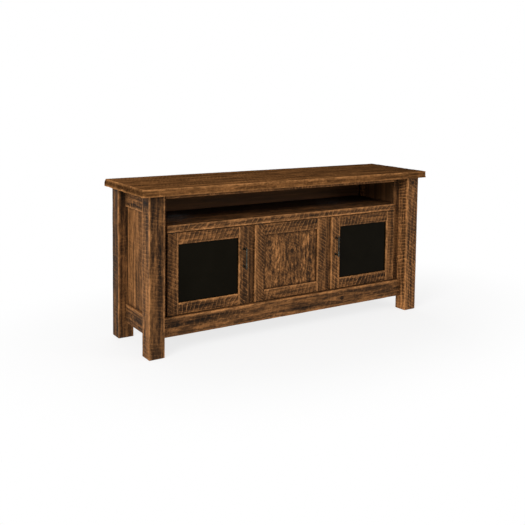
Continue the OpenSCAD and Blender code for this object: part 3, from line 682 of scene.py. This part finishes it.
def node_box(node):
    """A node's box in the frame, as lists of its low and high corner."""
    low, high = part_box(node)
    return [list(low), list(high)]


def trimmed(box, **limits):
    """A copy of a box with some of its limits replaced, such as x0 or z1."""
    copy = [list(box[0]), list(box[1])]
    for name, value in limits.items():
        copy[int(name[1])]["xyz".index(name[0])] = value
    return copy


def grown(box, amount):
    return [[v - amount for v in box[0]], [v + amount for v in box[1]]]


POST_FL, POST_FR = node_box("post_front_left"), node_box("post_front_right")
POST_IN_X = POST_FR[0][X]
FRONT_IN_Y, BACK_IN_Y = POST_FR[1][Y], node_box("post_back_right")[0][Y]
TENON_T, TENON_SHOULDER, TENON_SLACK = 0.012, 0.006, 0.0002
PAST_FACE = 0.01


# ------------------------------------------------------------------ carcass boards

def build_top():
    ends = [("-z", "-x", 0.7), ("+z", "-x", 0.5), ("-z", "+x", 0.4)]
    front = [("+z", "-y", 0.55), ("-z", "-y", 0.3)]
    looks = {
        "top_board_front": dict(seed=101, tone=0.02, radius=0.003, worn=ends + front),
        "top_board_middle": dict(seed=102, tone=-0.05, worn=ends),
        "top_board_back": dict(seed=103, worn=ends),
    }
    for node, look in looks.items():
        # Painted shade: the ends and the front are darkened side by side, and the top darkens towards its
        # right end
        plank = board([node_box(node)], X, cell=0.0075, chips=0.55, saw=(-24, 0.018, 0.0004), wear=0.12,
                      sawn=0.8, shade={"-x": -0.5, "+x": -0.3, "-y": -0.1}, fade=(X, 0.2, 0.8, -0.25),
                      torn_ends=0.006, **look)
        board_piece(node, WOOD["wood_top"], [plank])


def tenons(full, axis):
    """One bar that runs the whole length of a rail along axis, and is the tenons at its ends."""
    across = Y if axis == X else X
    middle = (full[0][across] + full[1][across]) / 2
    bar = [list(full[0]), list(full[1])]
    bar[0][across], bar[1][across] = middle - TENON_T / 2, middle + TENON_T / 2
    bar[0][Z] += TENON_SHOULDER
    bar[1][Z] -= TENON_SHOULDER
    return bar


def rail_between_posts(node, axis):
    """A rail's grain axis, the length of it that shows between the posts, and its tenon bar."""
    full = node_box(node)
    if axis == X:
        body = trimmed(full, x0=-POST_IN_X, x1=POST_IN_X)
    else:
        body = trimmed(full, y0=FRONT_IN_Y, y1=BACK_IN_Y)
    return {"axis": axis, "body": body, "tenon": tenons(full, axis)}


RAILS = {node: rail_between_posts(node, X) for node in ("front_apron", "back_bottom_rail", "back_top_rail")}
for rail_end in ("left", "right"):
    for rail_name in ("side_top_rail_" + rail_end, "side_bottom_rail_" + rail_end):
        RAILS[rail_name] = rail_between_posts(rail_name, Y)


def build_posts():
    mortises = [grown(rail["tenon"], TENON_SLACK) for rail in RAILS.values()]
    # Painted light and shade: sides of the posts are lightened or darkened as light falls on them, and the
    # front posts darken towards their tops, under the top
    looks = {
        "post_front_left": dict(
            seed=211, even=0.2, sawn=0.6, shade={"-y": -0.45, "-x": -0.12}, fade=(Z, 0.60, 0.72, -0.2),
            saw=(-9, 0.017, 0.0007), worn=[("-x", "-y", 0.6), ("-y", "+x", 0.5), ("-x", "+y", 0.35)],
            knots=[((POST_FL[0][X], -0.155, 0.694), 0.011)]),
        "post_front_right": dict(
            seed=222, even=0.55, shade={"-x": 0.6}, fade=(Z, 0.62, 0.72, -0.3), saw=(-28, 0.016, 0.0008),
            worn=[("-x", "-y", 0.75), ("-y", "+x", 0.3)], knots=[((0.748, POST_FR[0][Y], 0.70), 0.010)]),
        "post_back_left": dict(
            seed=233, sawn=0.5, shade={"-y": -0.42, "-x": -0.42}, saw=(12, 0.018, 0.0006),
            worn=[("-x", "-y", 0.6)]),
        "post_back_right": dict(seed=244, saw=(-12, 0.018, 0.0006), worn=[("+x", "-y", 0.4)]),
    }
    for node, look in looks.items():
        post = board([node_box(node)], Z, cut=mortises, radius=0.0028, **look)
        board_piece(node, WOOD["wood_post"], [post])


def build_rails():
    looks = {
        "front_apron": dict(
            seed=301, tone=-0.26, sawn=0.45, saw=(-35, 0.020, 0.0006),
            worn=[("-y", "+z", 0.95), ("-y", "-z", 0.3)], knots=[((0.31, -0.166, 0.118), 0.012)]),
        "back_bottom_rail": dict(seed=312, tone=-0.02, saw=(25, 0.02, 0.0005)),
        "back_top_rail": dict(seed=323, tone=-0.04, saw=(25, 0.02, 0.0005)),
        "side_top_rail_left": dict(seed=334, tone=-0.25, saw=(30, 0.016, 0.0005), worn=[("-x", "-z", 0.6)]),
        "side_top_rail_right": dict(
            seed=345, tone=-0.05, saw=(-30, 0.016, 0.0005), worn=[("+x", "-z", 0.6)]),
        "side_bottom_rail_left": dict(
            seed=356, tone=-0.2, saw=(24, 0.018, 0.0006), worn=[("-x", "+z", 0.8)]),
        "side_bottom_rail_right": dict(
            seed=367, tone=-0.08, saw=(-24, 0.018, 0.0006), worn=[("+x", "+z", 0.8)]),
    }
    for node, look in looks.items():
        rail = RAILS[node]
        wood = WOOD["wood_inner" if SLOT_OF[node] == "wood_inner" else "wood_rail"]
        board_piece(node, wood, [board([rail["body"], rail["tenon"]], rail["axis"], **look)])


SIDE_BOARD_TONES = (0.18, -0.22, -0.02)
SIDE_BOARD_GAP = 0.001


def build_sides():
    count = len(SIDE_BOARD_TONES)
    for node, side, seed in (("side_boards_left", "-x", 401), ("side_boards_right", "+x", 431)):
        full = node_box(node)
        width = (full[1][Y] - full[0][Y] - (count - 1) * SIDE_BOARD_GAP) / count
        # The opening between the posts and rails; the boards darken beside its edges as painted shade
        opening = (Y, FRONT_IN_Y, BACK_IN_Y, full[0][Z], full[1][Z])
        parts = []
        for i, tone in enumerate(SIDE_BOARD_TONES):
            y0 = full[0][Y] + i * (width + SIDE_BOARD_GAP)
            parts.append(board([trimmed(full, y0=y0, y1=y0 + width)], Z, seed + i, radius=0.0016,
                               saw=(15, 0.02, 0.0004), tone=tone, painted_recess_shade=opening, worn=[(side, "-y", 0.3)],
                               wear=0.1, sawn=0.7))
        board_piece(node, WOOD["wood_side_board"], parts)


def build_face_frame():
    wood = WOOD["wood_rail"]
    for node, seed, slant in (("face_stile_left", 501, -10), ("face_stile_right", 512, -12),
                              ("divider_stile_left", 523, -30), ("divider_stile_right", 534, -24)):
        # Painted shade: tone=-0.45 darkens the stiles, which sit back in the shade of the doors and posts
        stile = board([node_box(node)], Z, seed, radius=0.0015, tone=-0.45, even=0.3,
                      saw=(slant, 0.015, 0.0005), worn=[("-y", "-x", 0.3)])
        board_piece(node, wood, [stile])
    rail = board([node_box("face_top_rail")], X, 545, tone=-0.08, saw=(30, 0.018, 0.0005),
                 worn=[("-y", "-z", 0.3)])
    board_piece("face_top_rail", wood, [rail])


def build_media_shelf():
    """The media shelf, notched at its front corners to clear the end stiles."""
    full = node_box("media_shelf")
    stile = node_box("face_stile_right")
    corner = trimmed(grown(full, PAST_FACE), y1=stile[1][Y])
    notches = [trimmed(corner, x0=stile[0][X]), trimmed(corner, x1=-stile[0][X])]
    # Painted shade: the shelf darkens towards its back, in the shade under the top
    shelf = board([full], X, 556, cut=notches, cell=0.0065, chips=0.5, tone=-0.12, even=0.6,
                  fade=(Y, -0.06, 0.08, -0.72), saw=(-62, 0.014, 0.0007),
                  worn=[("-y", "-z", 0.85), ("-y", "+z", 0.55)])
    board_piece("media_shelf", WOOD["wood_rail"], [shelf])


# ------------------------------------------------------------------ doors

REBATE_DEPTH = 0.010
SEAT_SLACK = 0.001
GROOVE_SLACK = 0.0002
DOOR_CELL = 0.0045


def door_seat(prefix):
    """The groove round a door's panel, or the rebate round its glass, as a box to cut."""
    stile = node_box(prefix + "_hinge_stile")
    grooved = prefix == "center_door"
    fill = node_box(prefix + ("_panel" if grooved else "_glass"))
    back = fill[1][Y] + GROOVE_SLACK if grooved else stile[1][Y] + PAST_FACE
    return trimmed(grown(fill, SEAT_SLACK), y0=stile[0][Y] + REBATE_DEPTH, y1=back)


def build_door(prefix, free_name, seeds, looks):
    """A door's two stiles and two rails. looks holds what sets each of them apart."""
    seat = door_seat(prefix)
    one, two = node_box(prefix + "_hinge_stile"), node_box(prefix + free_name)
    inner = sorted((one[0][X], one[1][X], two[0][X], two[1][X]))[1:3]
    for part, seed in zip(("_hinge_stile", free_name, "_top_rail", "_bottom_rail"), seeds):
        node = prefix + part
        upright = part.endswith("stile")
        body = node_box(node) if upright else trimmed(node_box(node), x0=inner[0], x1=inner[1])
        saw = (-36, 0.016, 0.0008) if upright else (-52, 0.014, 0.0007)
        look = dict(radius=0.0018, tone=-0.22, even=0.6, saw=saw) | looks[part]
        piece = board([body], Z if upright else X, seed, cut=[seat], cell=DOOR_CELL, **look)
        board_piece(node, WOOD["wood_door"], [piece])


def build_doors():
    build_door("left_door", "_pull_stile", (601, 612, 623, 634), {
        "_hinge_stile": dict(tone=-0.3, saw=(-30, 0.016, 0.0008), worn=[("-y", "+x", 0.5)]),
        "_pull_stile": dict(tone=-0.2, worn=[("-y", "-x", 0.9), ("-y", "+x", 0.3)]),
        "_top_rail": dict(worn=[("-y", "-z", 0.3)]),
        "_bottom_rail": dict(worn=[("-y", "+z", 0.85)]),
    })
    build_door("center_door", "_free_stile", (701, 712, 723, 734), {
        "_hinge_stile": dict(tone=-0.26, even=0.95, saw=(-40, 0.013, 0.0008), worn=[("-y", "-x", 1.0)]),
        "_free_stile": dict(tone=-0.3, saw=(-30, 0.015, 0.0007), worn=[("-y", "-x", 1.0)]),
        "_top_rail": dict(worn=[("-y", "-z", 0.2)]),
        "_bottom_rail": dict(worn=[("-y", "+z", 0.6)]),
    })
    build_door("right_door", "_pull_stile", (801, 812, 823, 834), {
        "_hinge_stile": dict(
            tone=-0.25, saw=(-8, 0.016, 0.0008), worn=[("-y", "-x", 0.85), ("-y", "+x", 0.5)]),
        "_pull_stile": dict(tone=-0.1, worn=[("-y", "-x", 0.8), ("-y", "+x", 0.3)]),
        "_top_rail": dict(worn=[("-y", "-z", 0.2)]),
        "_bottom_rail": dict(worn=[("-y", "+z", 0.85)]),
    })


PANEL_BOARDS = [
    dict(seed=751, tone=0.0, knots=[((-0.125, 0, 0.452), 0.009), ((-0.10, 0, 0.30), 0.007)]),
    dict(seed=752, tone=-0.12, knots=[((0.01, 0, 0.395), 0.012)]),
    dict(seed=753, tone=0.06, knots=[((0.11, 0, 0.27), 0.010)]),
]
PANEL_JOINTS = (0.0, 0.31, 0.68, 1.0)
PANEL_GAP = 0.0006


def build_panel():
    """The middle door's panel, of three boards edge to edge."""
    full = node_box("center_door_panel")
    stiles = node_box("center_door_hinge_stile"), node_box("center_door_free_stile")
    rails = node_box("center_door_bottom_rail"), node_box("center_door_top_rail")
    # The opening in the door's frame; the panel darkens beside its edges as painted shade
    opening = (X, stiles[0][1][X], stiles[1][0][X], rails[0][1][Z], rails[1][0][Z])
    width = full[1][X] - full[0][X] + PANEL_GAP
    edges = [full[0][X] + share * width for share in PANEL_JOINTS]
    parts = []
    for x0, x1, look in zip(edges, edges[1:], PANEL_BOARDS):
        parts.append(board([trimmed(full, x0=x0, x1=x1 - PANEL_GAP)], Z, cell=DOOR_CELL, radius=0.0010,
                           saw=(-30, 0.013, 0.0004), sawn=0.6, wear=0.12, painted_recess_shade=opening, **look))
    board_piece("center_door_panel", WOOD["wood_panel"], parts)


# ------------------------------------------------------------------ pulls

FINIAL_L = 0.014
BAR_R, COLLAR_R, NECK_R, TIP_R = 0.0045, 0.0058, 0.0044, 0.003
STEM_INTO_BALL = 0.004
BAR_SIDES, STEM_SIDES = 28, 24
STEM = [(0.0065, 0.0), (0.0065, 0.0016), (0.0058, 0.0030), (0.0048, 0.0042), (0.0036, 0.0075),
        (0.0034, 0.0120), (0.0040, 0.0165)]


def lathe(profile, sides):
    """Points and quads of a turned shape about local Z. profile lists (radius, height)."""
    angles = np.linspace(0, 2 * math.pi, sides, endpoint=False)
    points = np.concatenate([
        np.stack([radius * np.cos(angles), radius * np.sin(angles), np.full(sides, height)], 1)
        for radius, height in profile])
    quads = []
    for i in range(len(profile) - 1):
        low, high = i * sides, (i + 1) * sides
        for j in range(sides):
            k = (j + 1) % sides
            quads.append((low + j, low + k, high + k, high + j))
    return points, quads


def arc(radius, centre, start, end, count):
    """Profile points on a ball about a height on the axis, from one angle to another in degrees."""
    angles = np.radians(np.linspace(start, end, count))
    return [(radius * math.cos(a), centre + radius * math.sin(a)) for a in angles]


def bar_profile(half, centre, ball):
    """The profile of a pull's bar from end to end, with balls at height centre either way."""
    top = [(BAR_R, 0.0), (BAR_R * 0.94, centre * 0.55), (BAR_R, centre - 0.0115),
           (COLLAR_R, centre - 0.0105), (COLLAR_R, centre - 0.0090), (NECK_R, centre - 0.0082)]
    top += arc(ball, centre, -51, 64, 12)
    top += [(0.0026, centre + 0.0078), (0.0022, centre + 0.0087)]
    top += arc(TIP_R, half - TIP_R, -40, 88, 7)
    return [(r, -h) for r, h in reversed(top[1:])] + top


def build_pull(node):
    """A turned bar pull: a bar with a ball and finial at each end, on two stems."""
    low, high = (np.array(corner) for corner in node_box(node))
    x, _, middle = (low + high) / 2
    ball = (high[X] - low[X]) / 2
    half = (high[Z] - low[Z]) / 2
    bar_y, seat_y = low[Y] + ball, high[Y]
    centre = half - FINIAL_L
    points, quads = lathe(bar_profile(half, centre, ball), BAR_SIDES)
    parts = [(points + np.array([x, bar_y, middle]), quads)]
    stem = STEM + [(0.0042, seat_y - bar_y - STEM_INTO_BALL)]
    for height in (middle - centre, middle + centre):
        points, quads = lathe(stem, STEM_SIDES)
        parts.append((np.stack([x + points[:, 0], seat_y - points[:, 2], height + points[:, 1]], 1), quads))
    faces, start = [], 0
    for points, quads in parts:
        faces += [tuple(start + corner for corner in quad) for quad in quads]
        start += len(points)
    mesh = bpy.data.meshes.new(node + ".cast")
    mesh.from_pydata(np.concatenate([points for points, _ in parts]).tolist(), [], faces)
    mesh.polygons.foreach_set("use_smooth", np.ones(len(mesh.polygons), bool))
    mesh.update()
    add_piece(node + ".cast", mesh, PULL_METAL, node)


# ------------------------------------------------------------------ pieces that keep their CAD shape

CAD_MATERIALS = {
    "side_liner_left": PANEL[Z], "side_liner_right": PANEL[Z], "partition_left": PANEL[Z],
    "partition_right": PANEL[Z], "bottom_panel": PANEL[X], "back_panel": PANEL[X],
    "adjustable_shelves": PANEL[X], "support_cleats": PANEL[Y], "shelf_pins": STEEL,
    "carcass_screws": STEEL, "hinge_frame_leaves": BRONZE, "hinge_pins": BRONZE,
    "left_door_fittings": BRONZE, "center_door_fittings": BRONZE, "right_door_fittings": BRONZE,
    "left_door_glass": GLASS, "right_door_glass": GLASS, "left_door_glass_stops": PANEL[Z],
    "right_door_glass_stops": PANEL[Z], "magnetic_catches": PLASTIC, "touch_latch_body": PLASTIC,
    "touch_latch_plunger": STEEL,
}


def finish_cad_nodes():
    """Gives each piece that keeps its CAD shape a procedural material."""
    for node, material in CAD_MATERIALS.items():
        piece = frame["nodes"][node]
        piece.data.materials.clear()
        piece.data.materials.append(material)


# ------------------------------------------------------------------ stage, light and camera

WHITE = (1, 1, 1, 1)
FLOOR_GREY = (0.90, 0.90, 0.90, 1)
FLOOR_REACH = 30.0
GLOW_OVAL = (0.85, 1.35, 0)
GLOW_START, GLOW_END = 0.75, 1.7
NEAR_GLOW = 0.78
WORLD_LEVEL = 0.50


def floor_material():
    """Pale matt floor. The camera sees it part lit, near the stand, and plain white further out."""
    material = bpy.data.materials.new("floor_white")
    g = Graph(material)
    matt, glow = g.add("ShaderNodeBsdfDiffuse"), g.add("ShaderNodeEmission")
    matt.inputs[0].default_value = FLOOR_GREY
    glow.inputs[0].default_value = WHITE
    x, y, _ = g.split(g.scaled(g.place(), GLOW_OVAL))
    away = g.math("SQRT", g.math("ADD", g.times(x, x), g.times(y, y)))
    share = g.times(g.background_rays(), g.between(away, GLOW_START, GLOW_END, NEAR_GLOW, 1.0))
    g.link(g.blend(share, matt, glow), g.add("ShaderNodeOutputMaterial").inputs[0])
    return material


def build_stage():
    """The floor, which isn't part of the stand."""
    mesh = bpy.data.meshes.new("floor")
    corners = [(x * FLOOR_REACH, y * FLOOR_REACH, 0) for x, y in ((-1, -1), (1, -1), (1, 1), (-1, 1))]
    mesh.from_pydata(corners, [], [(0, 1, 2, 3)])
    floor = bpy.data.objects.new("floor", mesh)
    bpy.context.scene.collection.objects.link(floor)
    mesh.materials.append(floor_material())


def build_world():
    """A plain white background that lights the stand at a lower level than it shows."""
    world = bpy.data.worlds.new("studio")
    bpy.context.scene.world = world
    g = Graph(world)
    light, seen = g.add("ShaderNodeBackground"), g.add("ShaderNodeBackground")
    for background, level in ((light, WORLD_LEVEL), (seen, 1.0)):
        background.inputs[0].default_value = WHITE
        background.inputs[1].default_value = level
    g.link(g.blend(g.background_rays(), light, seen), g.add("ShaderNodeOutputWorld").inputs[0])


LAMP_TARGET = Vector((0, 0, 0.4))


def add_lamp(name, place, width, height, power):
    data = bpy.data.lights.new(name, "AREA")
    data.shape = "RECTANGLE"
    data.size, data.size_y, data.energy = width, height, power
    lamp = bpy.data.objects.new(name, data)
    bpy.context.scene.collection.objects.link(lamp)
    lamp.location = place
    lamp.rotation_euler = (LAMP_TARGET - Vector(place)).to_track_quat("-Z", "Y").to_euler()


CAMERA_PLACE = (-2.1435, -3.2939, 1.2176)
CAMERA_TURN = (33.68, -4.784, 0.807)
CAMERA_LENS, CAMERA_SENSOR = 53.27, 36.0
CAMERA_SHIFT = (-0.0429, -0.2143)
CAMERA_REACH = 100


def build_camera():
    """A camera turned by yaw from +Y towards +X, pitch and roll, with its view shifted."""
    yaw, pitch, roll = (math.radians(angle) for angle in CAMERA_TURN)
    ahead = Vector((math.sin(yaw) * math.cos(pitch), math.cos(yaw) * math.cos(pitch), math.sin(pitch)))
    level = Vector((math.cos(yaw), -math.sin(yaw), 0))
    upward = level.cross(ahead)
    right = level * math.cos(roll) + upward * math.sin(roll)
    up = upward * math.cos(roll) - level * math.sin(roll)
    data = bpy.data.cameras.new("camera")
    data.sensor_width, data.lens = CAMERA_SENSOR, CAMERA_LENS
    data.shift_x, data.shift_y = CAMERA_SHIFT
    data.clip_end = CAMERA_REACH
    camera = bpy.data.objects.new("camera", data)
    bpy.context.scene.collection.objects.link(camera)
    turn = Matrix((right, up, -ahead)).transposed().to_4x4()
    camera.matrix_world = Matrix.Translation(CAMERA_PLACE) @ turn
    bpy.context.scene.camera = camera


build_camera()
build_top()
build_posts()
build_rails()
build_sides()
build_face_frame()
build_media_shelf()
build_doors()
build_panel()
build_pull("left_door_pull")
build_pull("right_door_pull")
finish_cad_nodes()
build_stage()
build_world()
add_lamp("key", (-4.4, -2.6, 2.6), 2.4, 1.8, 190)
add_lamp("fill", (2.6, -4.0, 2.0), 2.4, 2.0, 45)
add_lamp("back", (0.5, 3.6, 2.6), 2.6, 1.6, 45)
bpy.context.scene.view_settings.view_transform = "Standard"
